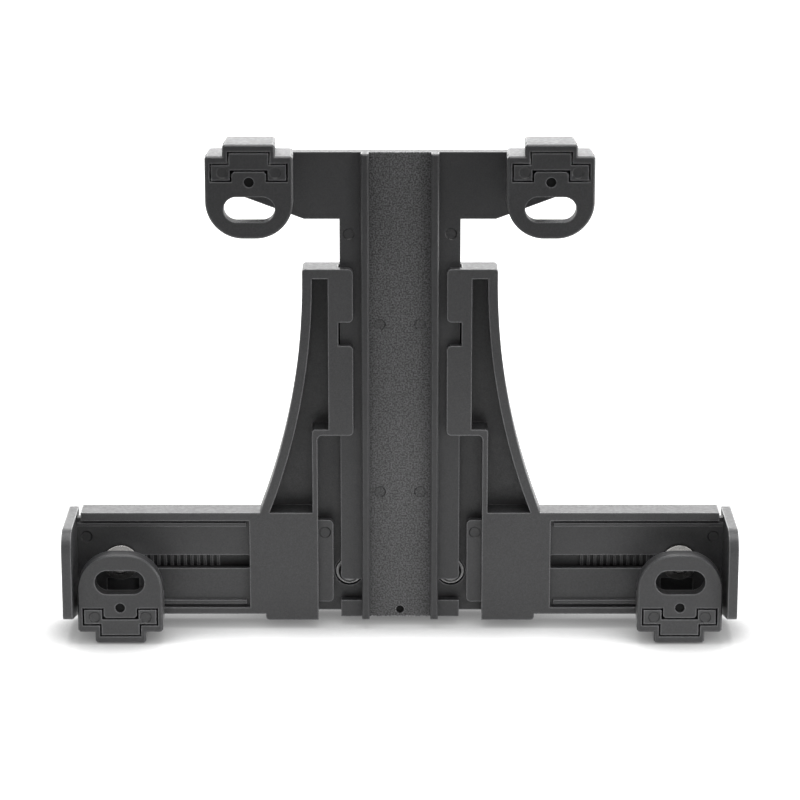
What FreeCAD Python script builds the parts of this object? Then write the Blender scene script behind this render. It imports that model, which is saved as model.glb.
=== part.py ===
"""Car tablet holder head: a T-slide, a front frame with two arms, four claws and a rear cover.

Millimetres, X to the right, Z up. The front faces -Y, so a distance "forward" is minus Y.
The origin is the middle of the fixing pattern, on the flat back of the rear cover.
"""
import FreeCAD, Part
import math
import os
import Sketcher

ROOT = -1
START = 1
FINISH = 2
LEFT = -1
RIGHT = 1
TONGUE_UP = 1
TONGUE_DOWN = -1
TOUCH = 0.02

SIZES = {
    "running_gap": 0.4,
    "overlap": 1.0,
    "wall": 2.0,
    # depths forward of the mounting face
    "cover_front": 6.5,
    "floor_front": 8.9,
    "frame_front": 15.5,
    "slide_front": 13.0,
    "grip_front": 29.0,
    "guard_front": 32.6,
    # T-slide
    "slide_thick": 2.6,
    "slide_half": 16.6,
    "bar_thick": 3.6,
    "bar_top": 90.0,
    "bar_bottom": 71.4,
    "bar_knee": 26.3,
    "bar_beyond_post": 9.5,
    "bar_end_bottom": 80.3,
    "rib_inner": 8.55,
    "rib_width": 2.1,
    "rib_height": 3.0,
    "wing_end": 32.4,
    "foot_top": 38.7,
    "foot_bottom": 43.5,
    "wing_round": 1.2,
    "rib_edge": 0.35,
    "slide_gate_z": 41.4,
    "slide_gate_radius": 1.1,
    # T-section posts and the claws on them
    "post_x": 40.5,
    "post_half": 10.0,
    "post_bar": 4.1,
    "stem_half": 5.25,
    "stem_rise": 3.2,
    "upper_post_z": 85.4,
    "lower_post_x": 77.7,
    "lower_post_z": 36.1,
    "claw_gap": 0.5,
    "claw_wall": 1.3,
    "claw_cap": 1.9,
    "claw_taper": 0.35,
    "claw_stand_off": 1.8,
    "claw_corner": 0.6,
    "sleeve_corner": 0.5,
    "claw_floor": 1.8,
    "lip_thick": 4.0,
    "lip_drop": 16.05,
    "lip_round": 10.2,
    "lip_slot_wide": 13.8,
    "lip_slot_high": 6.9,
    "lip_slot_drop": 8.0,
    "tab_half": 4.6,
    "tab_top": 2.3,
    "claw_edge": 0.4,
    "gate_depth": 0.8,
    "gate_drop": 0.6,
    "gate_radius": 1.35,
    "rack_depth": 1.0,
    "rack_pitch": 5.0,
    # front frame
    "frame_top": 57.8,
    "skirt_top_half": 26.9,
    "skirt_foot_half": 39.2,
    "skirt_flare": 190.0,
    "skirt_rim": 2.7,
    "channel_wall": 2.85,
    "tab_reach": 4.05,
    "upper_tab_foot": 42.8,
    "lower_tab_top": 36.1,
    "lower_tab_foot": 10.4,
    "tab_round": 1.3,
    "pocket_step": 12.1,
    "pocket_round": 0.8,
    "cavity_half": 22.95,
    "block_outer": 42.2,
    "block_deep": 37.8,
    "block_bottom": 43.7,
    "block_round": 1.0,
    "floor_bottom": 42.9,
    "sleeve_top": 12.1,
    "sleeve_bottom": 41.9,
    "back_round": 1.4,
    "skirt_corner": 0.8,
    "sleeve_end": 89.4,
    "window_top": 14.45,
    "window_bottom": 40.03,
    "sleeve_lip": 1.5,
    "tab_gap": 0.3,
    "rib_wall": 1.5,
    "pocket_floor": 7.6,
    # arms
    "arm_thick": 2.0,
    "arm_inner": 18.7,
    "arm_travel": 35.0,
    "arm_flange": 0.45,
    "arm_rim": 1.0,
    "arm_rim_high": 1.1,
    "arm_tongue_top": 14.8,
    "arm_tongue_bottom": 38.9,
    "arm_tongue_root": 25.0,
    "rim_end_gap": 1.0,
    "arm_round": 1.3,
    "recess_inner": 73.5,
    "recess_outer": 82.5,
    "recess_top": 31.8,
    "recess_bottom": 35.8,
    "recess_deep": 1.2,
    "arm_slot_high": 3.9,
    "arm_slot_z": 27.0,
    "rim_inset": 0.85,
    "slot_end_gap": 0.3,
    "guard_gap": 1.2,
    "guard_thick": 2.7,
    "guard_round": 6.0,
    "guard_top": 12.9,
    "guard_foot_round": 2.2,
    "guard_front_foot": 38.2,
    # ratchet teeth behind the arm slots
    "tooth_pitch": 1.87,
    "tooth_width": 0.9,
    "tooth_first": 50.9,
    "tooth_rise": 0.9,
    "tooth_over": 0.4,
    # screws and washers
    "arm_screw_x": 78.5,
    "frame_screw_x": 14.3,
    "frame_screw_z": 31.4,
    "shank_radius": 1.25,
    "head_radius": 3.0,
    "head_rise": 1.7,
    "arm_washer_radius": 5.0,
    "frame_washer_radius": 3.7,
    "washer_thick": 0.7,
    "screw_seat": 1.2,
    "screw_tip_gap": 0.5,
    "head_bevel": 0.6,
    "cross_reach": 1.8,
    "cross_half": 0.45,
    "cross_deep": 1.0,
    "neck_gap": 0.2,
    "neck_proud": 0.3,
    "thread_gap": 0.05,
    "thread_depth": 2.1,
    # rear cover
    "cover_half": 25.0,
    "cover_top": 53.0,
    "cover_foot_half": 34.5,
    "cover_shoulder": 14.0,
    "cover_bottom": 40.5,
    "cover_edge": 1.2,
    "pattern_x": 38.1,
    "pattern_z": 30.2,
    "pattern_hole": 2.1,
    "pattern_boss": 4.2,
    "cover_screw_x": 15.0,
    "cover_screw_z": 46.0,
    "cover_boss": 3.2,
    "cover_head": 2.4,
    "cover_head_deep": 1.9,
    "cover_rise": 3.0,
    # detent springs
    "strip": 0.4,
    "strip_half": 2.5,
    "detent_z": 20.0,
    "detent_length": 22.0,
    "arm_detent_x": 38.0,
    "arm_detent_length": 14.0,
    "strip_foot": 6.0,
    "nose_half": 0.6,
    "nose_curl": 1.8,
    "nose_gap": 0.3,
    "strip_room": 2.0,
}
TOOTH_COUNT = 12
RACK_COUNT = 12

document = FreeCAD.newDocument("tablet_holder")


class Term:
    """A length: its number now, and the expression over the sheet that gives it."""

    def __init__(self, number, text):
        self.number = number
        self.text = text

    def __add__(self, other):
        other = as_term(other)
        return Term(self.number + other.number, f"({self.text} + {other.text})")

    def __sub__(self, other):
        other = as_term(other)
        return Term(self.number - other.number, f"({self.text} - {other.text})")

    def __mul__(self, other):
        other = as_term(other)
        return Term(self.number * other.number, f"({self.text} * {other.text})")

    def __truediv__(self, other):
        other = as_term(other)
        return Term(self.number / other.number, f"({self.text} / {other.text})")

    def __neg__(self):
        return Term(-self.number, f"(0 - {self.text})")

    __radd__ = __add__
    __rmul__ = __mul__


def as_term(value):
    return value if isinstance(value, Term) else Term(value, str(value))


def make_sheet():
    sheet = document.addObject("Spreadsheet::Sheet", "sizes")
    for row, (name, value) in enumerate(SIZES.items(), start=1):
        sheet.set(f"A{row}", name)
        sheet.set(f"B{row}", str(value))
        sheet.setAlias(f"B{row}", name)
    document.recompute()
    return {name: Term(value, f"sizes.{name}") for name, value in SIZES.items()}


S = make_sheet()


def new_body(name):
    body = document.addObject("PartDesign::Body", name)
    body.Label = name
    return body


def new_sketch(body, name, plane, offset):
    """Sketch on one of the body's own planes: XZ looks forward, YZ looks to the right."""
    origin_plane = [item for item in body.Origin.OriginFeatures if item.Role == plane][0]
    sketch = body.newObject("Sketcher::SketchObject", f"{body.Name}_{name}")
    sketch.AttachmentSupport = [(origin_plane, "")]
    sketch.MapMode = "FlatFace"
    sketch.setExpression("AttachmentOffset.Base.z", as_term(offset).text)
    return sketch


def hold(sketch, kind, *parts_and_size):
    """Add a dimension and tie it to its expression."""
    *parts, size = parts_and_size
    size = as_term(size)
    index = sketch.addConstraint(Sketcher.Constraint(kind, *parts, size.number))
    sketch.setExpression(f"Constraints[{index}]", size.text)


def heading(begin, close):
    """Whole steps along u and w from one corner of a right-angled outline to the next."""
    across = as_term(close[0]).number - as_term(begin[0]).number
    up = as_term(close[1]).number - as_term(begin[1]).number
    if abs(across) > abs(up):
        return (1 if across > 0 else -1), 0
    return 0, (1 if up > 0 else -1)


def round_corners(corners):
    """Each right-angled corner (u, w, radius) becomes the two ends of its arc."""
    expanded = []
    for place, corner in enumerate(corners):
        if len(corner) != 3:
            expanded.append(corner)
            continue
        across, up, radius = map(as_term, corner)
        into = heading(corners[place - 1], corner)
        out = heading(corner, corners[(place + 1) % len(corners)])
        turn = -1 if into[0] * out[1] - into[1] * out[0] > 0 else 1
        expanded.append((across - radius * into[0], up - radius * into[1], radius, turn))
        expanded.append((across + radius * out[0], up + radius * out[1]))
    return expanded


def draw_loop(sketch, corners):
    """Closed loop. A corner is (u, w), (u, w, radius) where it is rounded,
    or (u, w, radius, turn) where an arc leads to the next."""
    corners = round_corners(corners)
    ends = []
    for place, corner in enumerate(corners):
        after = corners[(place + 1) % len(corners)]
        begin = FreeCAD.Vector(as_term(corner[0]).number, as_term(corner[1]).number, 0)
        close = FreeCAD.Vector(as_term(after[0]).number, as_term(after[1]).number, 0)
        if len(corner) == 2:
            edge = sketch.addGeometry(Part.LineSegment(begin, close), False)
            ends.append((edge, START, FINISH))
            continue
        radius = as_term(corner[2]).number
        middle = (begin + close) * 0.5
        half = (close - begin).Length / 2
        side = FreeCAD.Vector(-(close - begin).y, (close - begin).x, 0).normalize()
        rise = radius - math.sqrt(max(radius ** 2 - half ** 2, 0))
        crown = middle + side * (rise * corner[3])
        edge = sketch.addGeometry(Part.Arc(begin, crown, close), False)
        arc_start = sketch.getPoint(edge, START)
        forward = (arc_start - begin).Length < (arc_start - close).Length
        ends.append((edge, START, FINISH) if forward else (edge, FINISH, START))
    for place, (edge, begin, close) in enumerate(ends):
        follower, its_begin, _ = ends[(place + 1) % len(ends)]
        sketch.addConstraint(Sketcher.Constraint("Coincident", edge, close, follower, its_begin))
    for corner, (edge, begin, close) in zip(corners, ends):
        hold(sketch, "DistanceX", ROOT, START, edge, begin, corner[0])
        hold(sketch, "DistanceY", ROOT, START, edge, begin, corner[1])
        if len(corner) == 4:
            hold(sketch, "Radius", edge, corner[2])


def draw_box(sketch, low_u, high_u, low_w, high_w):
    draw_loop(sketch, [(low_u, low_w), (high_u, low_w), (high_u, high_w), (low_u, high_w)])


def draw_circle(sketch, centre_u, centre_w, radius):
    centre_u, centre_w, radius = as_term(centre_u), as_term(centre_w), as_term(radius)
    middle = FreeCAD.Vector(centre_u.number, centre_w.number, 0)
    edge = sketch.addGeometry(Part.Circle(middle, FreeCAD.Vector(0, 0, 1), radius.number), False)
    hold(sketch, "DistanceX", ROOT, START, edge, 3, centre_u)
    hold(sketch, "DistanceY", ROOT, START, edge, 3, centre_w)
    hold(sketch, "Radius", edge, radius)


def pad(body, sketch, length):
    feature = body.newObject("PartDesign::Pad", f"{sketch.Name}_pad")
    feature.Profile = sketch
    feature.setExpression("Length", as_term(length).text)
    return finish_feature(feature, more=True)


def pocket(body, sketch, depth):
    feature = body.newObject("PartDesign::Pocket", f"{sketch.Name}_cut")
    feature.Profile = sketch
    feature.setExpression("Length", as_term(depth).text)
    return finish_feature(feature, more=False)


def finish_feature(feature, more):
    """Recompute, and make sure that the feature changed the volume the right way."""
    document.recompute()
    base = feature.BaseFeature
    change = feature.Shape.Volume - (base.Shape.Volume if base else 0)
    if (change > 0) != more:
        raise RuntimeError(f"{feature.Name} changed the volume by {change}")
    return feature


def slab(body, name, back, front, draw, *sizes):
    """Pad a drawn outline from one depth to another, both measured forward."""
    sketch = new_sketch(body, name, "XZ_Plane", back)
    draw(sketch, *sizes)
    return pad(body, sketch, as_term(front) - back)


def cut(body, name, back, front, draw, *sizes):
    """Pocket a drawn outline between two depths, cutting backward from the front one."""
    sketch = new_sketch(body, name, "XZ_Plane", front)
    draw(sketch, *sizes)
    return pocket(body, sketch, as_term(front) - back)


def ordered(side, near, far):
    """Low and high X of a stretch that is mirrored by side."""
    return (near * side, far * side) if side > 0 else (far * side, near * side)


def loft(body, name, stages):
    """Loft through outlines, each given as its depth, how it is drawn and its sizes."""
    sketches = []
    for number, (depth, draw, *sizes) in enumerate(stages, start=1):
        sketch = new_sketch(body, f"{name}_{number}", "XZ_Plane", depth)
        draw(sketch, *sizes)
        sketches.append(sketch)
    feature = body.newObject("PartDesign::AdditiveLoft", f"{body.Name}_{name}_loft")
    feature.Profile = sketches[0]
    feature.Sections = sketches[1:]
    feature.Ruled = True
    return finish_feature(feature, more=True)


def dress_edges(body, name, kind, size, chosen):
    """Fillet or chamfer the edges of the tip that the test picks by their three points."""
    tip = body.Tip
    picked = []
    for number, edge in enumerate(tip.Shape.Edges, start=1):
        first, last = edge.Vertexes[0].Point, edge.Vertexes[-1].Point
        middle = edge.valueAt((edge.FirstParameter + edge.LastParameter) / 2)
        if chosen(first, middle, last):
            picked.append(f"Edge{number}")
    if not picked:
        raise RuntimeError(f"no edge for {name}")
    feature = body.newObject(f"PartDesign::{kind}", f"{body.Name}_{name}")
    feature.Base = (tip, picked)
    feature.setExpression("Radius" if kind == "Fillet" else "Size", as_term(size).text)
    document.recompute()
    return feature


def round_edges(body, name, radius, chosen):
    return dress_edges(body, name, "Fillet", radius, chosen)


def bevel_edges(body, name, size, chosen):
    return dress_edges(body, name, "Chamfer", size, chosen)


def outline_of(body, depth):
    """Test for the edges round the largest face that lies at a depth."""
    flat = [face for face in body.Tip.Shape.Faces
            if same(face.BoundBox.YMin, -depth) and same(face.BoundBox.YMax, -depth)]
    outer = max(flat, key=lambda face: face.Area).OuterWire
    places = [edge.valueAt((edge.FirstParameter + edge.LastParameter) / 2) for edge in outer.Edges]
    return lambda first, middle, last: any((middle - place).Length < TOUCH for place in places)


def same(value, target, slack=TOUCH):
    return abs(value - as_term(target).number) < slack


def along_depth(first, last):
    return same(first.x, last.x) and same(first.z, last.z) and not same(first.y, last.y)


def make_slide():
    """T-slide: ribbed plate with wings and foot, cross bar and the posts of the upper claws."""
    body = new_body("t_slide")
    front = S["slide_front"]
    plate_back = front - S["slide_thick"]
    rib_front = front + S["rib_height"]
    rib_outer = S["rib_inner"] + S["rib_width"]
    plate_top = S["bar_bottom"] + S["overlap"]
    slab(body, "plate", plate_back, front, draw_loop, [
        (-S["slide_half"], -S["wing_end"]), (-rib_outer, -S["wing_end"]),
        (-rib_outer, -S["foot_top"]), (-S["slide_half"], -S["foot_top"]),
        (-S["slide_half"], -S["foot_bottom"]), (S["slide_half"], -S["foot_bottom"]),
        (S["slide_half"], -S["foot_top"]), (rib_outer, -S["foot_top"]),
        (rib_outer, -S["wing_end"]), (S["slide_half"], -S["wing_end"]),
        (S["slide_half"], plate_top), (-S["slide_half"], plate_top)])
    slab(body, "bar", front - S["bar_thick"], front, draw_loop, bar_corners())
    for side in (LEFT, RIGHT):
        word = side_word(side)
        low, high = ordered(side, S["rib_inner"], rib_outer)
        slab(body, f"rib_{word}", front - S["overlap"], rib_front,
             draw_box, low, high, -S["foot_bottom"], S["bar_top"])
        add_post(body, word, S["post_x"] * side, S["upper_post_z"], TONGUE_UP, front - S["overlap"])
    add_rack(body, plate_back)
    cut(body, "gate", front - S["gate_depth"], front, draw_circle, as_term(0.0),
        -S["slide_gate_z"], S["slide_gate_radius"])
    round_edges(body, "wing_corner", S["wing_round"], lambda first, middle, last:
                along_depth(first, last) and same(abs(first.x), S["slide_half"])
                and same(first.z, -S["wing_end"]))
    bevel_edges(body, "rib_edge", S["rib_edge"], lambda first, middle, last:
                same(first.y, -rib_front) and same(last.y, -rib_front))
    return body


def bar_corners():
    """T-bar outline: raised behind each post's stem, knee in its lower edge."""
    stem_top = S["upper_post_z"] + S["post_bar"] + S["stem_rise"]
    stem_near = S["post_x"] - S["stem_half"]
    stem_far = S["post_x"] + S["stem_half"]
    bar_half = S["post_x"] + S["bar_beyond_post"]
    half = [(S["bar_knee"], S["bar_bottom"]), (bar_half, S["bar_end_bottom"]),
            (bar_half, S["bar_top"]), (stem_far, S["bar_top"]), (stem_far, stem_top),
            (stem_near, stem_top), (stem_near, S["bar_top"])]
    mirrored = [(-across, up) for across, up in reversed(half)]
    return half + mirrored


def add_post(body, word, across, height, way, back):
    """T-section post that a claw slides on, with the notch that takes the claw's tab."""
    bar_end = S["post_bar"] * way
    stem_end = (S["post_bar"] + S["stem_rise"]) * way
    slab(body, f"post_{word}", back, S["grip_front"], draw_loop, [
        (across - S["post_half"], height), (across + S["post_half"], height),
        (across + S["post_half"], height + bar_end), (across + S["stem_half"], height + bar_end),
        (across + S["stem_half"], height + stem_end), (across - S["stem_half"], height + stem_end),
        (across - S["stem_half"], height + bar_end), (across - S["post_half"], height + bar_end)])
    notch = S["tab_half"] + S["claw_gap"]
    cut(body, f"notch_{word}", S["grip_front"] - S["lip_thick"] - S["claw_gap"], S["grip_front"],
        draw_box, across - notch, across + notch,
        *sorted_pair(height - S["overlap"] * way, height + (S["tab_top"] + S["claw_gap"]) * way))


def sorted_pair(one, other):
    one, other = as_term(one), as_term(other)
    return (one, other) if one.number < other.number else (other, one)


def add_rack(body, plate_back):
    """Row of notches down the back of the slide, for its detent spring."""
    sketch = new_sketch(body, "rack", "XZ_Plane", plate_back + S["rack_depth"])
    half_wide = S["strip_half"] + S["running_gap"]
    half_high = S["nose_half"] + S["running_gap"]
    draw_box(sketch, -half_wide, half_wide, S["detent_z"] - half_high, S["detent_z"] + half_high)
    feature = pocket(body, sketch, S["rack_depth"])
    pattern = body.newObject("PartDesign::LinearPattern", "t_slide_rack_row")
    pattern.Originals = [feature]
    pattern.Direction = (sketch, ["V_Axis"])
    pattern.Reversed = True
    pattern.setExpression("Length", (S["rack_pitch"] * (RACK_COUNT - 1)).text)
    pattern.Occurrences = RACK_COUNT
    body.Tip = pattern
    document.recompute()


def side_word(side):
    return "left" if side < 0 else "right"


def draw_slot(sketch, low_u, high_u, centre_w, high):
    """Slot with round ends, low_u and high_u being its tips."""
    low_u, high_u = sorted_pair(low_u, high_u)
    centre_w = as_term(centre_w)
    half = as_term(high) / 2
    near, far = low_u + half, high_u - half
    points = [FreeCAD.Vector(u.number, w.number, 0) for u, w in (
        (near, centre_w - half), (far, centre_w - half), (far, centre_w + half), (near, centre_w + half))]
    right_tip = FreeCAD.Vector(high_u.number, centre_w.number, 0)
    left_tip = FreeCAD.Vector(low_u.number, centre_w.number, 0)
    bottom = sketch.addGeometry(Part.LineSegment(points[0], points[1]), False)
    right = sketch.addGeometry(Part.Arc(points[1], right_tip, points[2]), False)
    top = sketch.addGeometry(Part.LineSegment(points[2], points[3]), False)
    left = sketch.addGeometry(Part.Arc(points[3], left_tip, points[0]), False)
    for one, other in ((bottom, right), (right, top), (top, left), (left, bottom)):
        sketch.addConstraint(Sketcher.Constraint("Tangent", one, FINISH, other, START))
    sketch.addConstraint(Sketcher.Constraint("Horizontal", bottom))
    hold(sketch, "DistanceX", ROOT, START, bottom, START, near)
    hold(sketch, "DistanceX", ROOT, START, bottom, FINISH, far)
    hold(sketch, "DistanceY", ROOT, START, bottom, START, centre_w - half)
    hold(sketch, "Radius", right, half)


def draw_claw_face(sketch, across, height, way):
    """Front outline of a claw: round-cornered lip, two shoulders and a tongue, corners cut off."""
    beyond = S["claw_gap"] + S["claw_cap"]
    half = S["post_half"] + S["claw_gap"] + S["claw_wall"]
    tongue_half = S["stem_half"] + S["claw_gap"] + S["claw_wall"]
    shoulder = height + (S["post_bar"] + beyond) * way
    tongue = height + (S["post_bar"] + S["stem_rise"] + beyond) * way
    tip = height - S["lip_drop"] * way
    corner = S["claw_corner"]
    drop = corner * way
    draw_loop(sketch, [
        (across - half, tip, S["lip_round"]), (across + half, tip, S["lip_round"]),
        (across + half, shoulder - drop), (across + half - corner, shoulder),
        (across + tongue_half, shoulder), (across + tongue_half, tongue - drop),
        (across + tongue_half - corner, tongue), (across - tongue_half + corner, tongue),
        (across - tongue_half, tongue - drop), (across - tongue_half, shoulder),
        (across - half + corner, shoulder), (across - half, shoulder - drop)])


def draw_claw_hat(sketch, across, height, way, inset):
    """Section of a claw's sleeve: the post's T grown by gap and wall, its outer corners cut off."""
    half = S["post_half"] + S["claw_gap"] + S["claw_wall"] - inset
    stem = S["stem_half"] + S["claw_gap"] + S["claw_wall"] - inset
    beyond = S["claw_gap"] + S["claw_cap"] - inset
    foot = height - (S["claw_gap"] + S["claw_floor"] - inset) * way
    shoulder = height + (S["post_bar"] + beyond) * way
    top = height + (S["post_bar"] + S["stem_rise"] + beyond) * way
    slant = S["sleeve_corner"]
    drop = slant * way
    draw_loop(sketch, [
        (across - half, foot), (across + half, foot), (across + half, shoulder - drop),
        (across + half - slant, shoulder), (across + stem, shoulder), (across + stem, top - drop),
        (across + stem - slant, top), (across - stem + slant, top), (across - stem, top - drop),
        (across - stem, shoulder), (across - half + slant, shoulder), (across - half, shoulder - drop)])


def draw_tee(sketch, across, height, way, gap):
    """The post's T, grown by the gap that the claw runs with."""
    half = S["post_half"] + gap
    stem = S["stem_half"] + gap
    foot = height - gap * way
    shoulder = height + (S["post_bar"] + gap) * way
    top = height + (S["post_bar"] + S["stem_rise"] + gap) * way
    draw_loop(sketch, [
        (across - half, foot), (across + half, foot), (across + half, shoulder),
        (across + stem, shoulder), (across + stem, top), (across - stem, top),
        (across - stem, shoulder), (across - half, shoulder)])


def draw_claw_mouth(sketch, across, height, way):
    """Opening for the post's end, with the tab standing in it."""
    gap = S["claw_gap"]
    half = S["post_half"] + gap
    stem = S["stem_half"] + gap
    foot = height - gap * way
    shoulder = height + (S["post_bar"] + gap) * way
    top = height + (S["post_bar"] + S["stem_rise"] + gap) * way
    tab = S["tab_half"]
    tab_top = height + S["tab_top"] * way
    corner = S["claw_corner"]
    drop = corner * way
    draw_loop(sketch, [
        (across - half, foot), (across - tab, foot), (across - tab, tab_top - drop),
        (across - tab + corner, tab_top), (across + tab - corner, tab_top),
        (across + tab, tab_top - drop), (across + tab, foot), (across + half, foot),
        (across + half, shoulder), (across + stem, shoulder), (across + stem, top),
        (across - stem, top), (across - stem, shoulder), (across - half, shoulder)])


def make_claw(name, across, height, way, back):
    """Claw that slides forward on its post; its lip holds the edge of the tablet."""
    body = new_body(name)
    front = S["grip_front"]
    lip_back = front - S["lip_thick"]
    loft(body, "sleeve", [
        (back, draw_claw_hat, across, height, way, S["claw_taper"]),
        (lip_back, draw_claw_hat, across, height, way, as_term(0.0))])
    slab(body, "face", lip_back, front, draw_claw_face, across, height, way)
    cut(body, "bore", back, lip_back, draw_tee, across, height, way, S["claw_gap"])
    cut(body, "mouth", lip_back, front, draw_claw_mouth, across, height, way)
    slot_half = S["lip_slot_wide"] / 2
    cut(body, "slot", lip_back, front, draw_slot, across - slot_half, across + slot_half,
        height - S["lip_slot_drop"] * way, S["lip_slot_high"])
    cut(body, "gate", front - S["gate_depth"], front, draw_circle, across,
        height - S["gate_drop"] * way, S["gate_radius"])
    bevel_edges(body, "front_edge", S["claw_edge"], outline_of(body, front))
    return body


def make_arm(side):
    """Slotted plate that slides out of its sleeve, with a claw post and an upright side guard."""
    word = side_word(side)
    body = new_body(f"arm_{word}")
    front = arm_front()
    back = front - S["arm_thick"]
    rim_back = front - S["overlap"]
    rim_front = front + S["arm_rim"]
    guard_inner = S["sleeve_end"] + S["guard_gap"]
    guard_core = guard_inner + S["overlap"]
    low, high = ordered(side, S["arm_inner"], S["arm_tongue_root"] + S["overlap"])
    slab(body, "tongue", back, front, draw_box, low, high, -S["arm_tongue_bottom"], -S["arm_tongue_top"])
    low, high = ordered(side, S["arm_tongue_root"], guard_core)
    slab(body, "plate", back, front, draw_box, low, high,
         -(S["window_bottom"] + S["arm_flange"]), -(S["window_top"] - S["arm_flange"]))
    low, high = ordered(side, S["block_outer"] + S["rim_end_gap"], guard_core)
    upper = -(S["window_top"] + S["rim_inset"])
    slab(body, "upper_rim", rim_back, rim_front, draw_box, low, high, upper - S["arm_rim_high"], upper)
    lower = -(S["window_bottom"] - S["rim_inset"])
    slab(body, "lower_rim", rim_back, rim_front, draw_box, low, high, lower, lower + S["arm_rim_high"])
    add_guard(body, side, guard_inner)
    add_lower_post(body, side, word)
    add_arm_slot(body, side, back, front)
    round_edges(body, "inner_corner", S["arm_round"], lambda first, middle, last:
                along_depth(first, last) and same(abs(first.x), S["arm_inner"]))
    return body


def add_lower_post(body, side, word):
    """Post of the lower claw, on a root that passes in front of the sleeve's lip."""
    across = S["lower_post_x"] * side
    root_front = S["frame_front"] + S["running_gap"]
    slab(body, "root", arm_front() - S["overlap"], root_front + S["overlap"], draw_box,
         across - S["post_half"], across + S["post_half"],
         -S["window_bottom"] + S["running_gap"], -S["lower_post_z"])
    add_post(body, word, across, -S["lower_post_z"], TONGUE_DOWN, root_front)


def add_arm_slot(body, side, back, front):
    """Long slot for the arm screw's neck, and the shallow recess under its washer."""
    neck = S["arm_slot_high"] / 2
    tip_out = S["arm_screw_x"] + neck + S["slot_end_gap"]
    tip_in = S["arm_screw_x"] - S["arm_travel"] - neck - S["slot_end_gap"]
    low, high = ordered(side, tip_in, tip_out)
    cut(body, "slot", back, front, draw_slot, low, high, -S["arm_slot_z"], S["arm_slot_high"])
    low, high = ordered(side, S["recess_inner"], S["recess_outer"])
    cut(body, "recess", front - S["recess_deep"], front, draw_box, low, high,
        -S["recess_bottom"], -S["recess_top"])


def add_guard(body, side, inner):
    """Side guard: upright plate at the arm's end, round at its two front corners."""
    start = inner if side > 0 else -(inner + S["guard_thick"])
    sketch = new_sketch(body, "guard", "YZ_Plane", start)
    back = -S["cover_front"]
    front = -S["guard_front"]
    top = -S["guard_top"]
    foot = -S["guard_front_foot"]
    small = S["guard_foot_round"]
    large = S["guard_round"]
    draw_loop(sketch, [
        (back, top), (back, -S["sleeve_bottom"]), (-S["frame_front"], -S["sleeve_bottom"]),
        (front + small, foot, small, 1), (front, foot + small),
        (front, top - large, large, 1), (front + large, top)])
    pad(body, sketch, S["guard_thick"])


def draw_frame_outline(sketch):
    right = [
        (S["block_deep"], -S["block_bottom"]), (S["block_deep"], -S["sleeve_bottom"]),
        (S["sleeve_end"], -S["sleeve_bottom"]), (S["sleeve_end"], -S["sleeve_top"]),
        (S["skirt_foot_half"], -S["sleeve_top"], S["skirt_flare"], 1),
        (S["skirt_top_half"], S["frame_top"])]
    left = [
        (-S["skirt_top_half"], S["frame_top"], S["skirt_flare"], 1),
        (-S["skirt_foot_half"], -S["sleeve_top"]), (-S["sleeve_end"], -S["sleeve_top"]),
        (-S["sleeve_end"], -S["sleeve_bottom"]), (-S["block_deep"], -S["sleeve_bottom"]),
        (-S["block_deep"], -S["block_bottom"])]
    draw_loop(sketch, right + left)


def draw_skirt_pocket(sketch, side):
    """Deep pocket between the flared rim and the channel wall, stepped at its foot."""
    wall = S["slide_half"] + S["running_gap"] + S["channel_wall"]
    inner = S["cavity_half"] + S["rib_wall"]
    top = S["frame_top"] - S["skirt_rim"]
    high = S["skirt_top_half"] - S["skirt_rim"]
    low = S["skirt_foot_half"] - S["skirt_rim"]
    draw_loop(sketch, [
        (wall * side, top), (wall * side, S["pocket_step"]),
        (inner * side, S["pocket_step"], S["pocket_round"]), (inner * side, -S["sleeve_top"]),
        (low * side, -S["sleeve_top"], S["skirt_flare"], side), (high * side, top)])


def draw_teeth(sketch, side):
    high = S["arm_slot_high"] / 2 + S["tooth_over"]
    for place in range(TOOTH_COUNT):
        near = S["tooth_first"] + S["tooth_pitch"] * place
        low, up = ordered(side, near, near + S["tooth_width"])
        draw_box(sketch, low, up, -S["arm_slot_z"] - high, -S["arm_slot_z"] + high)


def make_frame():
    """Front frame: skirts with tabs over the slide, blocks and sleeves for the arms."""
    body = new_body("front_frame")
    back = S["cover_front"]
    floor = S["floor_front"]
    front = S["frame_front"]
    past = S["overlap"]
    slab(body, "outline", back, front, draw_frame_outline)
    channel = S["slide_half"] + S["running_gap"]
    cut(body, "channel", floor, front, draw_box, -channel, channel,
        S["lower_tab_foot"] - past, S["frame_top"] + past)
    cut(body, "cavity", floor, front, draw_cavity)
    for side in (LEFT, RIGHT):
        word = side_word(side)
        add_tabs(body, side, word, channel)
        cut(body, f"pocket_{word}", S["pocket_floor"], front, draw_skirt_pocket, side)
        add_sleeve(body, side, word)
        add_frame_holes(body, side, word)
    cut(body, "foot_gap", back, front, draw_box, -S["cavity_half"], S["cavity_half"],
        -S["block_bottom"] - past, -S["floor_bottom"])
    slot_half = S["strip_half"] + S["strip_room"] / 2
    slot_foot = S["detent_z"] - S["detent_length"] - S["strip_room"]
    slot_top = S["detent_z"] + S["nose_curl"] + S["strip_room"]
    cut(body, "detent_window", back, floor, draw_box, -slot_half, slot_half, slot_foot, slot_top)
    round_frame_edges(body, channel)
    return body


def draw_cavity(sketch):
    """Opening below the tabs, round at its two upper corners."""
    half = S["cavity_half"]
    foot = -S["block_bottom"] - S["overlap"]
    draw_loop(sketch, [
        (-half, foot), (half, foot),
        (half, S["lower_tab_foot"], S["tab_round"]), (-half, S["lower_tab_foot"], S["tab_round"])])


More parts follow.
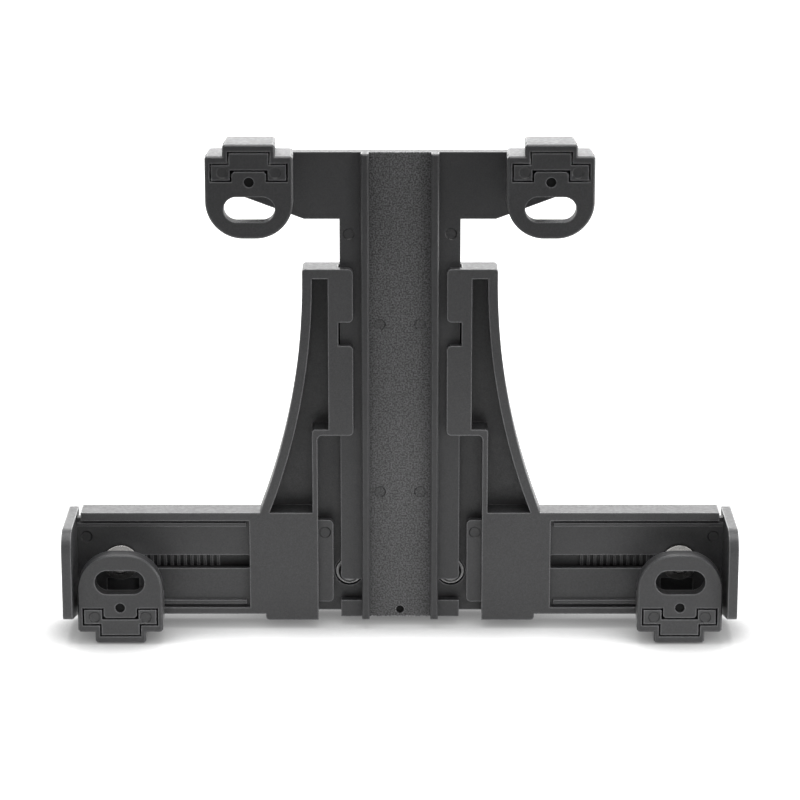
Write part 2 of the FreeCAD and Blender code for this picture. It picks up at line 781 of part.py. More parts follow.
def round_frame_edges(body, channel):
    """Round the tabs, the skirts' and blocks' corners and the upper edges at the back."""
    tab_x = channel - S["tab_reach"]
    back = S["cover_front"]
    round_edges(body, "tab_corner", S["tab_round"], lambda first, middle, last:
                along_depth(first, last) and same(abs(first.x), tab_x))
    round_edges(body, "skirt_corner", S["skirt_corner"], lambda first, middle, last:
                along_depth(first, last) and same(abs(first.x), S["skirt_top_half"])
                and same(first.z, S["frame_top"]))
    round_edges(body, "block_corner", S["block_round"], lambda first, middle, last:
                along_depth(first, last) and same(abs(first.x), S["block_deep"])
                and same(first.z, -S["block_bottom"]))
    round_edges(body, "sleeve_back", S["back_round"], lambda first, middle, last:
                same(first.y, -back) and same(last.y, -back) and same(first.z, -S["sleeve_top"])
                and same(last.z, -S["sleeve_top"]))


def add_tabs(body, side, word, channel):
    """Two tabs that hold one wing of the slide in its channel."""
    under = S["slide_front"] + S["tab_gap"]
    low, high = ordered(side, channel - S["tab_reach"], channel + S["overlap"])
    slab(body, f"upper_tab_{word}", under, S["frame_front"], draw_box, low, high,
         S["upper_tab_foot"], S["frame_top"])
    slab(body, f"lower_tab_{word}", under, S["frame_front"], draw_box, low, high,
         S["lower_tab_foot"], S["lower_tab_top"])


def add_sleeve(body, side, word):
    """Channel for one arm, its front window, the ratchet teeth and the neck of the arm screw."""
    floor = S["floor_front"]
    lip_back = S["frame_front"] - S["sleeve_lip"]
    flange = S["arm_flange"] + S["running_gap"]
    past = S["overlap"]
    low, high = ordered(side, S["cavity_half"] - past, S["sleeve_end"] + past)
    cut(body, f"channel_{word}", floor, lip_back, draw_box, low, high,
        -S["window_bottom"] - flange, -S["window_top"] + flange)
    low, high = ordered(side, S["block_outer"], S["sleeve_end"] + past)
    cut(body, f"window_{word}", lip_back - past, S["frame_front"], draw_box, low, high,
        -S["window_bottom"], -S["window_top"])
    slab(body, f"teeth_{word}", floor - past, floor + S["tooth_rise"], draw_teeth, side)
    across = S["arm_screw_x"] * side
    neck = S["arm_slot_high"] / 2 - S["neck_gap"]
    neck_front = arm_front() + S["neck_proud"]
    slab(body, f"neck_{word}", floor - past, neck_front, draw_circle, across, -S["arm_slot_z"], neck)
    cut(body, f"arm_screw_hole_{word}", floor, neck_front, draw_circle, across, -S["arm_slot_z"],
        S["shank_radius"] + S["thread_gap"])


def add_frame_holes(body, side, word):
    """Sunk seat of one frame screw, and the blind hole of one cover screw."""
    back = S["cover_front"]
    across = S["frame_screw_x"] * side
    seat = S["floor_front"] - S["screw_seat"]
    cut(body, f"seat_{word}", seat, S["floor_front"], draw_circle, across, -S["frame_screw_z"],
        S["frame_washer_radius"] + S["running_gap"])
    cut(body, f"frame_screw_hole_{word}", back, seat, draw_circle, across,
        -S["frame_screw_z"], S["shank_radius"] + S["running_gap"])
    cut(body, f"cover_screw_hole_{word}", back, back + S["thread_depth"], draw_circle,
        S["cover_screw_x"] * side, S["cover_screw_z"], S["shank_radius"] + S["thread_gap"])


def arm_front():
    return S["frame_front"] - S["sleeve_lip"] - S["running_gap"]


def draw_cover(sketch, inset):
    half = S["cover_half"] - inset
    foot_half = S["cover_foot_half"] - inset
    shoulder = -(S["cover_shoulder"] + inset)
    top = S["cover_top"] - inset
    bottom = -(S["cover_bottom"] - inset)
    draw_loop(sketch, [
        (-foot_half, bottom), (foot_half, bottom), (foot_half, shoulder), (half, shoulder + S["cover_rise"]),
        (half, top), (-half, top), (-half, shoulder + S["cover_rise"]), (-foot_half, shoulder)])


def make_cover():
    """Rear cover: a shallow shell with the fixing pattern and the screw bosses."""
    body = new_body("rear_cover")
    front = S["cover_front"]
    slab(body, "outline", as_term(0.0), front, draw_cover, as_term(0.0))
    cut(body, "hollow", S["wall"], front, draw_cover, S["wall"])
    for side in (LEFT, RIGHT):
        word = side_word(side)
        across = S["cover_screw_x"] * side
        add_boss(body, f"screw_boss_{word}", across, S["cover_screw_z"], S["cover_boss"],
                 S["shank_radius"] + S["thread_gap"], front)
        cut(body, f"head_seat_{word}", as_term(0.0), S["cover_head_deep"], draw_circle,
            across, S["cover_screw_z"], S["cover_head"] + S["running_gap"])
        add_boss(body, f"frame_boss_{word}", S["frame_screw_x"] * side, -S["frame_screw_z"],
                 S["cover_boss"], S["shank_radius"] + S["thread_gap"], front)
        for way in (LEFT, RIGHT):
            add_boss(body, f"pattern_{word}_{'low' if way < 0 else 'high'}",
                     S["pattern_x"] / 2 * side, S["pattern_z"] / 2 * way, S["pattern_boss"],
                     S["pattern_hole"], front)
    bevel_edges(body, "back_edge", S["cover_edge"], outline_of(body, as_term(0.0)))
    return body


def add_boss(body, name, across, height, half, hole, front):
    """Square boss inside the cover, with a round hole right through."""
    slab(body, name, S["wall"] - S["overlap"], front, draw_box, across - half, across + half,
         height - half, height + half)
    cut(body, f"{name}_hole", as_term(0.0), front, draw_circle, across, height, hole)


def make_screw(name, across, height, seat, tip):
    """Pan-head screw driven backward: its head rests on the seat, its shank ends at the tip."""
    body = new_body(name)
    top = seat + S["head_rise"]
    slab(body, "head", seat, top, draw_circle, across, height, S["head_radius"])
    slab(body, "shank", tip, seat + S["overlap"], draw_circle, across, height, S["shank_radius"])
    bevel_edges(body, "dome", S["head_bevel"], lambda first, middle, last:
                same(first.y, -top) and same(middle.y, first.y))
    cut(body, "cross", top - S["cross_deep"], top, draw_cross, across, height)
    return body


def draw_cross(sketch, across, height):
    """Cross recess for the driver."""
    reach, half = S["cross_reach"], S["cross_half"]
    draw_loop(sketch, [(across + u, height + w) for u, w in (
        (-half, -reach), (half, -reach), (half, -half), (reach, -half), (reach, half), (half, half),
        (half, reach), (-half, reach), (-half, half), (-reach, half), (-reach, -half), (-half, -half))])


def make_washer(name, across, height, seat, radius):
    body = new_body(name)
    slab(body, "disc", seat, seat + S["washer_thick"], draw_circle, across, height, radius)
    cut(body, "hole", seat, seat + S["washer_thick"], draw_circle, across, height,
        S["shank_radius"] + S["neck_gap"])
    return body


def strip_points(start, nose, base, level, way):
    """Bent strip as (along, forward) points: flat foot on the base, nose raised to the level."""
    thick = S["strip"] * way
    foot = start + S["strip_foot"]
    near = nose - S["nose_half"]
    far = nose + S["nose_half"]
    curl = nose + S["nose_curl"]
    drop = S["strip"] * way
    return [(start, base), (foot, base), (near, level - thick), (far, level - thick),
            (curl, level - thick - drop), (curl, level - drop), (far, level), (near, level),
            (foot, base + thick), (start, base + thick)]


def make_slide_detent():
    """Leaf on the cover's floor whose nose clicks along the rack on the slide's back."""
    body = new_body("slide_detent_spring")
    sketch = new_sketch(body, "side", "YZ_Plane", -S["strip_half"])
    level = S["slide_front"] - S["slide_thick"] - S["nose_gap"]
    points = strip_points(S["detent_z"] - S["detent_length"], S["detent_z"], S["wall"], level, 1)
    draw_loop(sketch, [(-forward, along) for along, forward in points])
    pad(body, sketch, S["strip_half"] * 2)
    return body


def make_arm_detent(side):
    """Leaf on the back of an arm whose nose clicks over the teeth of its sleeve."""
    body = new_body(f"arm_detent_spring_{side_word(side)}")
    sketch = new_sketch(body, "side", "XY_Plane", -S["arm_slot_z"] - S["strip_half"])
    level = S["floor_front"] + S["tooth_rise"] + S["nose_gap"]
    start = S["arm_detent_x"] - S["arm_detent_length"]
    points = strip_points(start, S["arm_detent_x"], arm_front() - S["arm_thick"], level, -1)
    draw_loop(sketch, [(along * side, -forward) for along, forward in points])
    pad(body, sketch, S["strip_half"] * 2)
    return body


def make_cover_screws():
    """The two screws that hold the top of the cover, driven forward from the back."""
    shapes = []
    forward = FreeCAD.Vector(0, -1, 0)
    sink = S["cover_head_deep"].number - S["head_rise"].number
    for side in (LEFT, RIGHT):
        place = FreeCAD.Vector(S["cover_screw_x"].number * side, 0, S["cover_screw_z"].number)
        seat = place + forward * sink
        head = Part.makeCylinder(S["cover_head"].number, S["head_rise"].number, seat, forward)
        shank = Part.makeCylinder(S["shank_radius"].number, shank_length(), seat, forward)
        shapes.append(head.fuse(shank).removeSplitter())
    group = document.addObject("Part::Feature", "cover_screws")
    group.Label = "cover_screws"
    group.Shape = Part.makeCompound(shapes)
    return group


def shank_length():
    sink = S["cover_head_deep"] - S["head_rise"]
    return (S["cover_front"] + S["thread_depth"] - S["thread_gap"] * 2 - sink).number


def build_parts():
    parts = [make_slide(), make_frame(), make_cover()]
    slide_face = S["slide_front"] + S["running_gap"]
    sleeve_face = S["frame_front"] + S["running_gap"]
    for side in (LEFT, RIGHT):
        word = side_word(side)
        parts.append(make_arm(side))
        parts.append(make_claw(f"claw_upper_{word}", S["post_x"] * side, S["upper_post_z"],
                               TONGUE_UP, slide_face + S["claw_stand_off"]))
        parts.append(make_claw(f"claw_lower_{word}", S["lower_post_x"] * side, -S["lower_post_z"],
                               TONGUE_DOWN, sleeve_face + S["claw_stand_off"]))
        seat = arm_front() + S["neck_proud"]
        across, height = S["arm_screw_x"] * side, -S["arm_slot_z"]
        parts.append(make_washer(f"arm_washer_{word}", across, height, seat, S["arm_washer_radius"]))
        parts.append(make_screw(f"arm_screw_{word}", across, height, seat + S["washer_thick"],
                                S["floor_front"] + S["screw_tip_gap"]))
        seat = S["floor_front"] - S["screw_seat"]
        across, height = S["frame_screw_x"] * side, -S["frame_screw_z"]
        parts.append(make_washer(f"frame_washer_{word}", across, height, seat, S["frame_washer_radius"]))
        parts.append(make_screw(f"frame_screw_{word}", across, height, seat + S["washer_thick"],
                                S["wall"] + S["screw_tip_gap"]))
        parts.append(make_arm_detent(side))
    parts.append(make_slide_detent())
    parts.append(make_cover_screws())
    return parts


def check_document(parts):
    document.recompute()
    for item in document.Objects:
        if "Invalid" in item.State or "Error" in item.State:
            raise RuntimeError(f"{item.Name} is {item.State}")
    for part in parts:
        shape = part.Shape
        if shape.isNull() or not shape.isValid():
            raise RuntimeError(f"{part.Label} has no valid shape")


def export_parts(parts):
    os.makedirs("parts", exist_ok=True)
    for part in parts:
        part.Shape.exportStep(f"parts/{part.Label}.step")


all_parts = build_parts()
check_document(all_parts)
export_parts(all_parts)
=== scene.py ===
"""Looks of the tablet holder: its finishes, a white studio and the photograph's camera."""
import math

import bpy
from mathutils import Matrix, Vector


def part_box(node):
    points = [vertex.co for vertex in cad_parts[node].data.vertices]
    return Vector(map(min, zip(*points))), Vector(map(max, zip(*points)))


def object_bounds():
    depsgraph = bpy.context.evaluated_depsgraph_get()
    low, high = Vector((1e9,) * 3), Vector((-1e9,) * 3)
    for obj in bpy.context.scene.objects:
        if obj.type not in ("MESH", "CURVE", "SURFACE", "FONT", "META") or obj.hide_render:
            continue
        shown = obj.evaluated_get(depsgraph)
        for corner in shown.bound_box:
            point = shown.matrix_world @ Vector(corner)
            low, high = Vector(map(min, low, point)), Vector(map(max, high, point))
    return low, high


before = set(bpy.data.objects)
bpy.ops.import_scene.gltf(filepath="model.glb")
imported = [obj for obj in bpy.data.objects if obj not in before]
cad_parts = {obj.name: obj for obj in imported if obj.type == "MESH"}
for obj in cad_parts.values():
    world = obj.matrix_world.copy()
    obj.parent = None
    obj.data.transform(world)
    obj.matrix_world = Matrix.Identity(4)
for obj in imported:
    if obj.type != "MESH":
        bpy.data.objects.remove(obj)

CAD_LOW, CAD_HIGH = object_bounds()
MILLIMETRE = 0.001
WHITE = (1.0, 1.0, 1.0, 1.0)

# Camera of the photograph, with its sensor in millimetres
CAMERA_TARGET = Vector((0.0, -0.013, 0.020))
CAMERA_DISTANCE = 0.900
CAMERA_ELEVATION = math.radians(15.5)
CLIP_START = 0.05
CLIP_END = 30.0
SENSOR = 36.0
IMAGE_SIDE = 800
FOCAL_PIXELS = 3240

# Lamps: name, place, point that it faces, size, watts and, for a strip, its height
LAMPS = (
    ("key", (1.1, -1.0, 0.35), (0.0, 0.0, 0.02), 0.5, 5.6),
    ("side", (1.4, 0.25, 0.15), (0.0, 0.0, 0.02), 1.0, 31.0),
    ("top", (0.0, -0.10, 1.25), (0.0, 0.0, 0.0), 1.0, 18.0),
    ("back", (0.0, 1.5, 0.50), (0.0, 0.0, 0.0), 1.8, 26.0),
    ("card", (0.0, -0.17, -0.030), (0.0, 0.0, -0.030), 0.5, 0.035, 0.03),
)

# World: its strength to rays that light the object, and the share of it below the horizon
WORLD_DIFFUSE = 0.21
WORLD_BELOW = 0.12
HORIZON_BLUR = 0.02

# Floor, just under the object, which ends a little in front of it
FLOOR_HALF = 4.0
FLOOR_GAP = 0.5 * MILLIMETRE
TABLE_EDGE = 0.22
FLOOR_ROUGHNESS = 0.9
FLOOR_SPECULAR = 0.1

# Floor's grey to the rays that light the object and to the camera, and its glow in mirrors
FLOOR_WHITE = 0.88
FLOOR_SEEN = 0.35
FLOOR_TO_MIRROR = 0.40

# Shade of the floor to the camera: its darkest value, and the openness over which it rises
SHADE_REACH = 26.0 * MILLIMETRE
UPRIGHT_SHADE = 0.40
UPRIGHT_SPAN = (0.50, 0.90)
LEANING_ANGLE = math.radians(50.0)
LEANING_SHADE = 0.20
LEANING_SPAN = (0.20, 0.80)

# Moulded plastics, in linear colours
CHARCOAL = (0.029, 0.029, 0.030)
SLIDE_CHARCOAL = (0.021, 0.021, 0.022)
CLAW_CHARCOAL = (0.022, 0.022, 0.023)
DEEP_CHARCOAL = (0.026, 0.026, 0.027)
PANEL_CHARCOAL = (0.044, 0.044, 0.045)
PLASTIC_ROUGHNESS = (0.41, 0.55)
PLASTIC_SPECULAR = 0.46

# Steels, in linear colours
BRIGHT_STEEL = (0.20, 0.196, 0.19)
DARK_STEEL = (0.14, 0.14, 0.14)
SPRING_STEEL = (0.50, 0.51, 0.52)
BRIGHT_ROUGHNESS = (0.20, 0.32)
DARK_ROUGHNESS = (0.32, 0.44)
SPRING_ROUGHNESS = (0.30, 0.42)

# Noises: how fine each is, in features to the metre, and the values that most of it takes
FINE_SCALE = 2600.0
COARSE_SCALE = 1100.0
SPECK_SCALE = 2300.0
FLOW_SCALE = 38.0
ROLLED_SCALE = 1600.0
STAIN_SCALE = 320.0
NOISE_SPAN = (0.3, 0.7)
SPECK_SPAN = (0.35, 0.65)

# Tones: the factor on the colour from a noise's low to its high values; the specks' is added
FINE_TONE = (0.72, 1.28)
FLOW_TONE = (0.90, 1.10)
ROLLED_TONE = (0.92, 1.05)
STAIN_TONE = (0.80, 1.10)
SPECK_TONE = (-0.85, 0.85)

# Relief of the grain, and the rounding of edges that the solids leave sharp
COARSE_SHARE = 0.5
PLASTIC_GRAIN = 0.02 * MILLIMETRE
PLASTIC_STRENGTH = 0.7
PLASTIC_ROUNDING = 0.30 * MILLIMETRE
STEEL_GRAIN = 0.002 * MILLIMETRE
STEEL_STRENGTH = 0.4
STEEL_ROUNDING = 0.12 * MILLIMETRE

# Edges: how far in they reach, how much lighter a painted highlight makes them, and the plastic's gloss
# there
PLASTIC_EDGE = 0.40 * MILLIMETRE
PLASTIC_PAINTED_HIGHLIGHT = 9.0
PLASTIC_EDGE_ROUGHNESS = 0.30
PLASTIC_EDGE_FULL = 0.4
STEEL_EDGE = 0.25 * MILLIMETRE
STEEL_PAINTED_HIGHLIGHT = 5.0

# Fronts that carry marks, and the grained panel down the slide's front
SLIDE_FRONT = -13.0 * MILLIMETRE
ARM_FRONT = -13.6 * MILLIMETRE
POCKET_FLOOR = -7.6 * MILLIMETRE
PANEL_HALF = 8.5 * MILLIMETRE
PANEL_BORDER = 0.2 * MILLIMETRE
PANEL_BACK = SLIDE_FRONT + 1.5 * MILLIMETRE
PANEL_MIDDLE_TONE = 0.25

# Ejector marks, too shallow for the solids, and the gates' recesses, which the solids have and which get
# painted shade
MARK_RADIUS = 1.5 * MILLIMETRE
MARK_SOFTNESS = 0.16 * MILLIMETRE
MARK_DEPTH = 0.50 * MILLIMETRE
MARK_TONE = 0.72
POST_MARK_ASIDE = 7.1 * MILLIMETRE
POST_MARK_INSET = 7.6 * MILLIMETRE
GATE_RADIUS = 1.4 * MILLIMETRE
GATE_SOFTNESS = 0.10 * MILLIMETRE
GATE_DEPTH = 0.7 * MILLIMETRE
GATE_PAINTED_SHADE = 0.10
CLAW_GATE_INSET = 10.3 * MILLIMETRE
SLIDE_GATE_RISE = 2.1 * MILLIMETRE


class Nodes:
    """Short calls to build the node tree of a material or of the world."""

    def __init__(self, owner, shader, coordinates="Object"):
        owner.use_nodes = True
        self.owner = owner
        self.tree = owner.node_tree
        self.shader = self.tree.nodes[shader]
        self.place = self.add("ShaderNodeTexCoord").outputs[coordinates]

    def add(self, kind, **settings):
        node = self.tree.nodes.new(kind)
        for key, value in settings.items():
            setattr(node, key, value)
        return node

    def put(self, socket, value):
        """A link if the value is another socket, a constant if not."""
        if isinstance(value, bpy.types.NodeSocket):
            self.tree.links.new(value, socket)
        else:
            socket.default_value = value

    def feed(self, name, value):
        """Puts a value on the shader's own socket of that name."""
        self.put(self.shader.inputs[name], value)

    def math(self, operation, *values):
        node = self.add("ShaderNodeMath", operation=operation)
        for socket, value in zip(node.inputs, values):
            self.put(socket, value)
        return node.outputs[0]

    def plus(self, first, second):
        return self.math("ADD", first, second)

    def times(self, first, second):
        return self.math("MULTIPLY", first, second)

    def noise(self, scale, detail=2.0, roughness=0.5):
        node = self.add("ShaderNodeTexNoise")
        self.put(node.inputs["Vector"], self.place)
        node.inputs["Scale"].default_value = scale
        node.inputs["Detail"].default_value = detail
        node.inputs["Roughness"].default_value = roughness
        return node.outputs["Fac"]

    def ramp(self, value, first, last, start=0.0, end=1.0):
        """Goes from first to last while the value goes from start to end."""
        node = self.add("ShaderNodeMapRange")
        for socket, entry in zip(node.inputs, (value, start, end, first, last)):
            self.put(socket, entry)
        return node.outputs["Result"]

    def mix(self, factor, first, second):
        """Blends two colours."""
        node = self.add("ShaderNodeMix", data_type="RGBA")
        for index, entry in ((0, factor), (6, first), (7, second)):
            self.put(node.inputs[index], entry)
        return node.outputs[2]

    def scaled(self, colour, factor):
        node = self.add("ShaderNodeVectorMath", operation="SCALE")
        self.put(node.inputs[0], colour)
        self.put(node.inputs["Scale"], factor)
        return node.outputs[0]

    def bump(self, height, distance, strength, normal):
        node = self.add("ShaderNodeBump")
        self.put(node.inputs["Height"], height)
        self.put(node.inputs["Normal"], normal)
        node.inputs["Distance"].default_value = distance
        node.inputs["Strength"].default_value = strength
        return node.outputs["Normal"]

    def soft_edges(self, radius):
        node = self.add("ShaderNodeBevel", samples=6)
        node.inputs["Radius"].default_value = radius
        return node.outputs["Normal"]

    def openness(self, reach, lean=0.0):
        """1 in the open, less with something inside the reach; it may lean to the front."""
        node = self.add("ShaderNodeAmbientOcclusion", samples=16)
        node.inputs["Distance"].default_value = reach
        if lean:
            way = self.add("ShaderNodeCombineXYZ")
            way.inputs["Y"].default_value = -math.sin(lean)
            way.inputs["Z"].default_value = math.cos(lean)
            self.put(node.inputs["Normal"], way.outputs[0])
        return node.outputs["AO"]

    def edge_mask(self, reach):
        """Above 0 close to outer edges only: rays sent into the part leave it again there."""
        node = self.add("ShaderNodeAmbientOcclusion", samples=6, inside=True)
        node.inputs["Distance"].default_value = reach
        return self.math("SUBTRACT", 1.0, node.outputs["AO"])

    def axis(self, letter):
        node = self.add("ShaderNodeSeparateXYZ")
        self.put(node.inputs[0], self.place)
        return node.outputs[letter]

    def near(self, place, radius, softness):
        """1 within the radius of a place and 0 outside it, with a soft border."""
        node = self.add("ShaderNodeVectorMath", operation="DISTANCE")
        self.put(node.inputs[0], self.place)
        node.inputs[1].default_value = place
        return self.ramp(node.outputs["Value"], 1.0, 0.0, radius - softness, radius + softness)

    def round_spots(self, places, radius, softness):
        """1 inside round spots and 0 elsewhere."""
        inside = 0.0
        for place in places:
            inside = self.plus(inside, self.near(place, radius, softness))
        return inside

    def rays(self):
        """1 for the camera's rays, and 1 for those that come mirrored or through glass."""
        path = self.add("ShaderNodeLightPath").outputs
        mirrored_rays = self.math("MAXIMUM", path["Is Glossy Ray"], path["Is Transmission Ray"])
        return path["Is Camera Ray"], mirrored_rays


def new_material(name):
    return Nodes(bpy.data.materials.new(name), "Principled BSDF")


def lay_panel(nodes, colour, tone, grain):
    """The same three with the slide's panel over them: a lighter strip with coarse specks."""
    across = nodes.math("ABSOLUTE", nodes.axis("X"))
    strip = nodes.ramp(across, 1.0, 0.0, PANEL_HALF - PANEL_BORDER, PANEL_HALF + PANEL_BORDER)
    front = nodes.ramp(nodes.axis("Y"), 1.0, 0.0, PANEL_BACK - PANEL_BORDER, PANEL_BACK)
    inside = nodes.times(strip, front)
    speck = nodes.ramp(nodes.noise(SPECK_SCALE, detail=1.0), *SPECK_TONE, *SPECK_SPAN)
    middle = nodes.ramp(across, PANEL_MIDDLE_TONE, 0.0, 0.0, PANEL_HALF)
    colour = nodes.mix(inside, (*colour, 1.0), (*PANEL_CHARCOAL, 1.0))
    tone = nodes.plus(tone, nodes.times(nodes.plus(speck, middle), inside))
    grain = nodes.plus(grain, nodes.times(speck, inside))
    return colour, tone, grain


def plastic(name, colour, panel=False, marks=(), gates=()):
    """Spark-eroded grain with faint flow shading, ejector marks, moulding gates darkened by painted shade
    and a painted highlight along outer edges.
    """
    nodes = new_material(name)
    fine = nodes.noise(FINE_SCALE, detail=3.0, roughness=0.65)
    coarse = nodes.noise(COARSE_SCALE)
    flow = nodes.ramp(nodes.noise(FLOW_SCALE), *FLOW_TONE, *NOISE_SPAN)
    tone = nodes.times(nodes.ramp(fine, *FINE_TONE, *NOISE_SPAN), flow)
    grain = nodes.plus(fine, nodes.times(coarse, COARSE_SHARE))
    if panel:
        colour, tone, grain = lay_panel(nodes, colour, tone, grain)
    normal = nodes.bump(grain, PLASTIC_GRAIN, PLASTIC_STRENGTH, nodes.soft_edges(PLASTIC_ROUNDING))
    edge = nodes.edge_mask(PLASTIC_EDGE)
    roughness = nodes.ramp(coarse, *PLASTIC_ROUGHNESS, *NOISE_SPAN)
    roughness = nodes.ramp(edge, roughness, PLASTIC_EDGE_ROUGHNESS, 0.0, PLASTIC_EDGE_FULL)
    if marks:
        mark = nodes.round_spots(marks, MARK_RADIUS, MARK_SOFTNESS)
        tone = nodes.times(tone, nodes.ramp(mark, 1.0, MARK_TONE))
        normal = nodes.bump(nodes.times(mark, -1.0), MARK_DEPTH, 1.0, normal)
    if gates:
        gate = nodes.round_spots(gates, GATE_RADIUS, GATE_SOFTNESS)
        # Painted shade: the gates' recesses are darkened in colour
        tone = nodes.times(tone, nodes.ramp(gate, 1.0, GATE_PAINTED_SHADE))
        roughness = nodes.math("MAXIMUM", roughness, gate)
    # Painted highlight: outer edges are made lighter in colour
    tone = nodes.times(tone, nodes.ramp(edge, 1.0, PLASTIC_PAINTED_HIGHLIGHT))
    nodes.feed("Base Color", nodes.scaled(colour, tone))
    nodes.feed("Roughness", roughness)
    nodes.feed("Specular IOR Level", PLASTIC_SPECULAR)
    nodes.feed("Normal", normal)
    return nodes.owner


def steel(name, colour, roughness):
    """Plated steel with a faint rolled grain, small stains and a painted highlight on its edges."""
    nodes = new_material(name)
    grain = nodes.noise(ROLLED_SCALE)
    stain = nodes.noise(STAIN_SCALE, detail=3.0)
    rolled = nodes.ramp(grain, *ROLLED_TONE, *NOISE_SPAN)
    tone = nodes.times(rolled, nodes.ramp(stain, *STAIN_TONE, *NOISE_SPAN))
    # Painted highlight: the edges of screws and washers are made lighter in colour
    tone = nodes.times(tone, nodes.ramp(nodes.edge_mask(STEEL_EDGE), 1.0, STEEL_PAINTED_HIGHLIGHT))
    nodes.feed("Base Color", nodes.scaled(colour, tone))
    nodes.feed("Metallic", 1.0)
    nodes.feed("Roughness", nodes.ramp(stain, *roughness, *NOISE_SPAN))
    nodes.feed("Normal", nodes.bump(grain, STEEL_GRAIN, STEEL_STRENGTH, nodes.soft_edges(STEEL_ROUNDING)))
    return nodes.owner


def mirrored(front, *places):
    """Each place on a front, given by its X and Z in millimetres, and its mirror image."""
    sides = (1.0, -1.0)
    return [(side * x * MILLIMETRE, front, z * MILLIMETRE) for x, z in places for side in sides]


def on_claw(claw, inset, aside=0.0, depth=0.0):
    """A place that far in from a claw's tip, aside from its middle and behind its front."""
    low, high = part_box(claw)
    height = high.z - inset if claw.startswith("claw_upper") else low.z + inset
    return ((low.x + high.x) / 2.0 + aside, low.y + depth, height)


def post_marks(row):
    """Marks on the fronts of the upper or the lower posts, one each side of their middles."""
    claws = (f"claw_{row}_left", f"claw_{row}_right")
    asides = (POST_MARK_ASIDE, -POST_MARK_ASIDE)
    return [on_claw(claw, POST_MARK_INSET, aside) for claw in claws for aside in asides]


CLAWS = [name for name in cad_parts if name.startswith("claw")]
SLIDE_MARKS = mirrored(SLIDE_FRONT, (5.6, 41.6), (5.6, -6.7), (14.0, 67.2)) + post_marks("upper")
ARM_MARKS = mirrored(ARM_FRONT, (21.0, -18.4), (88.0, -19.6)) + post_marks("lower")
FRAME_MARKS = mirrored(POCKET_FLOOR, (29.1, -24.7))
CLAW_GATES = [on_claw(claw, CLAW_GATE_INSET, depth=GATE_DEPTH) for claw in CLAWS]
SLIDE_GATES = [(0.0, SLIDE_FRONT + GATE_DEPTH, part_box("t_slide")[0].z + SLIDE_GATE_RISE)]

SLIDE_PLASTIC = plastic("slide_plastic", SLIDE_CHARCOAL, True, SLIDE_MARKS, SLIDE_GATES)
FRAME_PLASTIC = plastic("frame_plastic", CHARCOAL, marks=FRAME_MARKS)
ARM_PLASTIC = plastic("arm_plastic", DEEP_CHARCOAL, marks=ARM_MARKS)
CLAW_PLASTIC = plastic("claw_plastic", CLAW_CHARCOAL, gates=CLAW_GATES)
BRIGHT_SCREWS = steel("bright_screws", BRIGHT_STEEL, BRIGHT_ROUGHNESS)
DARK_SCREWS = steel("dark_screws", DARK_STEEL, DARK_ROUGHNESS)
LEAF_STEEL = steel("leaf_steel", SPRING_STEEL, SPRING_ROUGHNESS)


def finish_of(node):
    """The finish that a CAD node takes by its name."""
    if node == "t_slide":
        return SLIDE_PLASTIC
    if node in ("arm_left", "arm_right"):
        return ARM_PLASTIC
    if node in CLAWS:
        return CLAW_PLASTIC
    if "spring" in node:
        return LEAF_STEEL
    if node.startswith(("arm_screw", "arm_washer")):
        return BRIGHT_SCREWS
    if "screw" in node or "washer" in node:
        return DARK_SCREWS
    return FRAME_PLASTIC


for name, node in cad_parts.items():
    node.data.materials.clear()
    node.data.materials.append(finish_of(name))


def add_to_scene(name, data):
    item = bpy.data.objects.new(name, data)
    bpy.context.scene.collection.objects.link(item)
    return item


def make_camera():
    """The photograph's camera, straight in front of the object and a little above it."""
    data = bpy.data.cameras.new("camera")
    data.sensor_width = SENSOR
    data.lens = FOCAL_PIXELS * SENSOR / IMAGE_SIDE
    data.clip_start = CLIP_START
    data.clip_end = CLIP_END
    camera = add_to_scene("camera", data)
    back = Vector((0.0, -math.cos(CAMERA_ELEVATION), math.sin(CAMERA_ELEVATION)))
    camera.location = CAMERA_TARGET + CAMERA_DISTANCE * back
    camera.rotation_euler = (-back).to_track_quat("-Z", "Y").to_euler()
    bpy.context.scene.camera = camera


def make_lamp(name, place, aim, size, watts, height=None):
    """Soft round lamp, or a strip where a height is given."""
    data = bpy.data.lights.new(name, "AREA")
    data.shape = "RECTANGLE" if height else "DISK"
    data.size = size
    if height:
        data.size_y = height
    data.energy = watts
    lamp = add_to_scene(name, data)
    lamp.location = place
    lamp.rotation_euler = (Vector(aim) - Vector(place)).to_track_quat("-Z", "Y").to_euler()


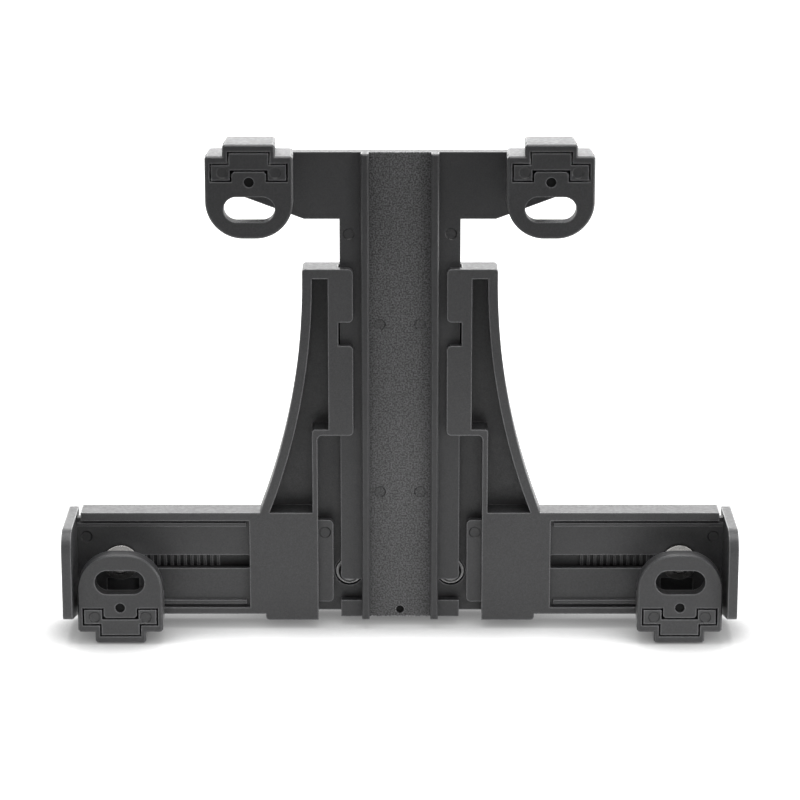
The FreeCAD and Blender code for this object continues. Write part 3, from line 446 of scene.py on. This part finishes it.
def floor_shade(nodes):
    """1 in the open and less by the object, darkest below its back."""
    upright = nodes.ramp(nodes.openness(SHADE_REACH), UPRIGHT_SHADE, 1.0, *UPRIGHT_SPAN)
    leaning = nodes.openness(SHADE_REACH, LEANING_ANGLE)
    return nodes.times(upright, nodes.ramp(leaning, LEANING_SHADE, 1.0, *LEANING_SPAN))


def floor_finish():
    """Plain white to the rays that light the object; to the camera a shaded grey and a glow."""
    nodes = new_material("floor_white")
    camera_rays, mirrored_rays = nodes.rays()
    shade = floor_shade(nodes)
    glow = nodes.times(camera_rays, shade)
    nodes.feed("Base Color", nodes.ramp(camera_rays, FLOOR_WHITE, nodes.times(shade, FLOOR_SEEN)))
    nodes.feed("Roughness", FLOOR_ROUGHNESS)
    nodes.feed("Specular IOR Level", FLOOR_SPECULAR)
    nodes.feed("Emission Color", WHITE)
    nodes.feed("Emission Strength", nodes.plus(glow, nodes.times(mirrored_rays, FLOOR_TO_MIRROR)))
    return nodes.owner


def make_floor():
    """White floor: it shows white to the camera and keeps the shadow under the object."""
    mesh = bpy.data.meshes.new("floor")
    near, far = -TABLE_EDGE, FLOOR_HALF
    corners = [(-far, near, 0.0), (far, near, 0.0), (far, far, 0.0), (-far, far, 0.0)]
    mesh.from_pydata(corners, [], [(0, 1, 2, 3)])
    mesh.materials.append(floor_finish())
    floor = add_to_scene("floor", mesh)
    floor.location = (0.0, 0.0, CAD_LOW.z - FLOOR_GAP)


def make_world():
    """White all round to the camera; other rays find it darker below the table's level."""
    world = bpy.data.worlds.new("studio")
    bpy.context.scene.world = world
    nodes = Nodes(world, "Background", "Generated")
    camera_rays, mirrored_rays = nodes.rays()
    above = nodes.ramp(nodes.axis("Z"), WORLD_BELOW, 1.0, -HORIZON_BLUR, HORIZON_BLUR)
    level = nodes.times(above, nodes.ramp(mirrored_rays, WORLD_DIFFUSE, 1.0))
    nodes.feed("Color", WHITE)
    nodes.feed("Strength", nodes.ramp(camera_rays, level, 1.0))


make_camera()
make_floor()
make_world()
for lamp in LAMPS:
    make_lamp(*lamp)

bpy.context.scene.view_settings.view_transform = "Standard"
